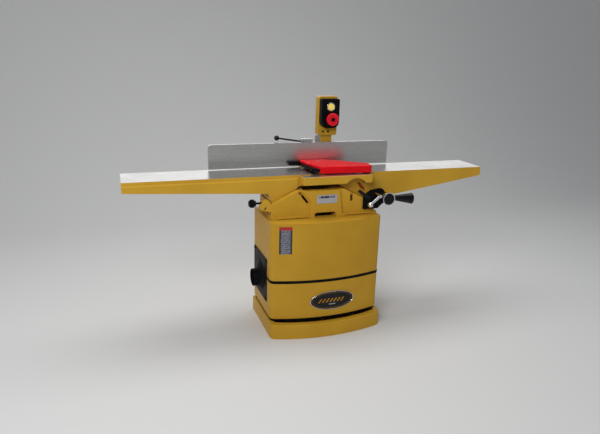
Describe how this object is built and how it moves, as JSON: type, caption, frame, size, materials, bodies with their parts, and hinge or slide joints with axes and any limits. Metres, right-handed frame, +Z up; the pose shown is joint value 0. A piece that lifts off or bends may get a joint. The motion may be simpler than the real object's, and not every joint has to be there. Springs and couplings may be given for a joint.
{
  "type": "jointer",
  "caption": "Cabinet woodworking jointer with iron tables on inclined ways, a spring-closed cutterhead guard, a sliding and tilting fence, a bowed sheet cabinet and a switch on a column.",
  "frame": {"origin": "on the floor, under the plinth, in the middle of the rectangle of floor bolts", "axes": "+Z up; +X along the tables towards the infeed end; -Y towards the operator, +Y towards the fence side"},
  "size_m": [2.092, 0.6675, 1.27],
  "materials": {
    "painted_yellow": "gloss golden-yellow enamel",
    "cast_painted": "golden-yellow enamel over cast iron",
    "ground_iron": "ground",
    "dark_steel": "machined",
    "bright_steel": "machined",
    "zinc": "zinc plated",
    "chrome": "polished",
    "aluminium": "satin",
    "red_guard": "gloss red enamel",
    "black_plastic": "moulded",
    "black_gloss": "moulded",
    "black_paint": "satin black",
    "red_plastic": "moulded",
    "cream_plastic": "moulded",
    "label": "printed card",
    "rubber": "belt",
    "spring_steel": "oiled"
  },
  "bodies": {
    "base": {"plinth": "painted_yellow", "cabinet_shell": "painted_yellow", "cabinet_top": "painted_yellow", "rear_panel": "painted_yellow", "panel_screws": "black_paint", "mid_band": "black_plastic", "toe_band": "black_plastic", "dust_hood": "black_plastic", "oval_badge": "black_gloss", "side_label": "label", "chip_chute": "dark_steel", "bed": "cast_painted", "bed_bolts": "cast_painted", "nameplate": "aluminium", "bearing_blocks": "black_paint", "cutterhead_bearings": "bright_steel", "motor": "black_paint", "motor_base": "painted_yellow", "drive_belt": "rubber", "belt_guard": "painted_yellow", "fence_support": "cast_painted", "switch_column": "painted_yellow", "column_clamp": "zinc", "switch_box": "painted_yellow", "switch_housing": "black_plastic", "cable_gland": "black_plastic", "lift_bracket": "black_paint"},
    "cutter": {"cutterhead": "bright_steel", "knives": "bright_steel", "knife_gibs": "dark_steel", "cutterhead_pulley": "aluminium"},
    "rotor": {"motor_shaft": "bright_steel", "motor_pulley": "aluminium"},
    "infeed": {"infeed_table": "ground_iron", "infeed_gib": "dark_steel", "rabbet_ledge": "ground_iron", "ledge_bolts": "zinc", "guard_post": "bright_steel", "guard_spring": "spring_steel"},
    "outfeed": {"outfeed_table": "ground_iron", "outfeed_gib": "dark_steel"},
    "lift": {"lift_shaft": "bright_steel", "lift_lever": "bright_steel", "lift_grip": "black_gloss"},
    "depth_lock_knob": {"lift_knob": "black_gloss", "lift_knob_rim": "chrome"},
    "infeed_lock": {"lock_lever": "chrome"},
    "outfeed_screw": {"outfeed_knob": "black_plastic"},
    "carriage": {"fence_carriage": "ground_iron", "tilt_pins": "bright_steel"},
    "fence_assembly": {"fence": "ground_iron", "fence_lug": "zinc"},
    "tilt_lock": {"tilt_handle": "black_gloss"},
    "slide_clamp": {"slide_lock": "black_gloss"},
    "guard_swing": {"guard_hub": "black_paint"},
    "guard": {"guard_cover": "red_guard", "guard_liner": "black_plastic", "guard_cap": "aluminium"},
    "start": {"start_button": "cream_plastic"},
    "stop": {"stop_button": "red_plastic"}
  },
  "joints": [
    {"name": "cutterhead_spin", "type": "hinge", "parent": "base", "child": "cutter", "pos_m": [-0.031, 0.1, 0.838], "axis": [0, 1, 0], "continuous": true},
    {"name": "motor_spin", "type": "hinge", "parent": "base", "child": "rotor", "pos_m": [0.094, 0.1, 0.292], "axis": [0, 1, 0], "continuous": true},
    {"name": "infeed_slide", "type": "slide", "parent": "base", "child": "infeed", "axis": [-0.891, 0, 0.454], "range_m": [-0.0242, 0.0044]},
    {"name": "outfeed_slide", "type": "slide", "parent": "base", "child": "outfeed", "axis": [0.891, 0, 0.454], "range_m": [-0.0066, 0.0066]},
    {"name": "lift_turn", "type": "hinge", "parent": "base", "child": "lift", "pos_m": [0.354, 0.1, 0.745], "axis": [0, 1, 0], "range_deg": [-12, 52]},
    {"name": "depth_knob_turn", "type": "hinge", "parent": "lift", "child": "depth_lock_knob", "pos_m": [0.354, 0.1, 0.745], "axis": [0, 1, 0], "range_deg": [0, 90]},
    {"name": "infeed_lock_turn", "type": "hinge", "parent": "base", "child": "infeed_lock", "pos_m": [0.3, 0.1, 0.764], "axis": [0, 1, 0], "range_deg": [0, 40]},
    {"name": "outfeed_screw_turn", "type": "hinge", "parent": "base", "child": "outfeed_screw", "pos_m": [-0.026, -0.054, 0.738], "axis": [1, 0, 0], "range_deg": [-1200, 1200]},
    {"name": "fence_slide", "type": "slide", "parent": "base", "child": "carriage", "axis": [0, -1, 0], "range_m": [0, 0.15]},
    {"name": "fence_tilt", "type": "hinge", "parent": "carriage", "child": "fence_assembly", "pos_m": [-0.026, 0.193, 0.891], "axis": [1, 0, 0], "range_deg": [-45, 0]},
    {"name": "tilt_lock_turn", "type": "hinge", "parent": "fence_assembly", "child": "tilt_lock", "pos_m": [-0.026, 0.1, 1.014], "axis": [0, 1, 0], "range_deg": [0, 40]},
    {"name": "slide_lock_turn", "type": "hinge", "parent": "carriage", "child": "slide_clamp", "pos_m": [0.04, 0.37, 0.052], "axis": [0, 0, 1], "range_deg": [-35, 0]},
    {"name": "guard_carry", "type": "hinge", "parent": "infeed", "child": "guard_swing", "pos_m": [0.264, -0.042, 0.052], "axis": [0, 0, 1], "range_deg": [0, 50]},
    {"name": "guard_swing_turn", "type": "hinge", "parent": "guard_swing", "child": "guard", "pos_m": [0.264, -0.042, 0.052], "axis": [0, 0, 1], "range_deg": [0, 40], "stiffness_Nm_per_rad": 2, "springref_deg": -20.05},
    {"name": "start_press", "type": "slide", "parent": "base", "child": "start", "axis": [0, 1, 0], "range_m": [0, 0.004], "stiffness_N_per_m": 600, "springref_m": -0.002},
    {"name": "stop_press", "type": "slide", "parent": "base", "child": "stop", "axis": [0, 1, 0], "range_m": [0, 0.006], "stiffness_N_per_m": 600, "springref_m": -0.002}
  ],
  "couplings": [
    {"joint": "motor_spin", "follows": "cutterhead_spin", "ratio": 0.63415},
    {"joint": "lift_turn", "follows": "infeed_slide", "rad_per_m": -36.6},
    {"joint": "outfeed_screw_turn", "follows": "outfeed_slide", "rad_per_m": 3141.6},
    {"joint": "guard_carry", "follows": "fence_slide", "rad_per_m": 5.8}
  ]
}
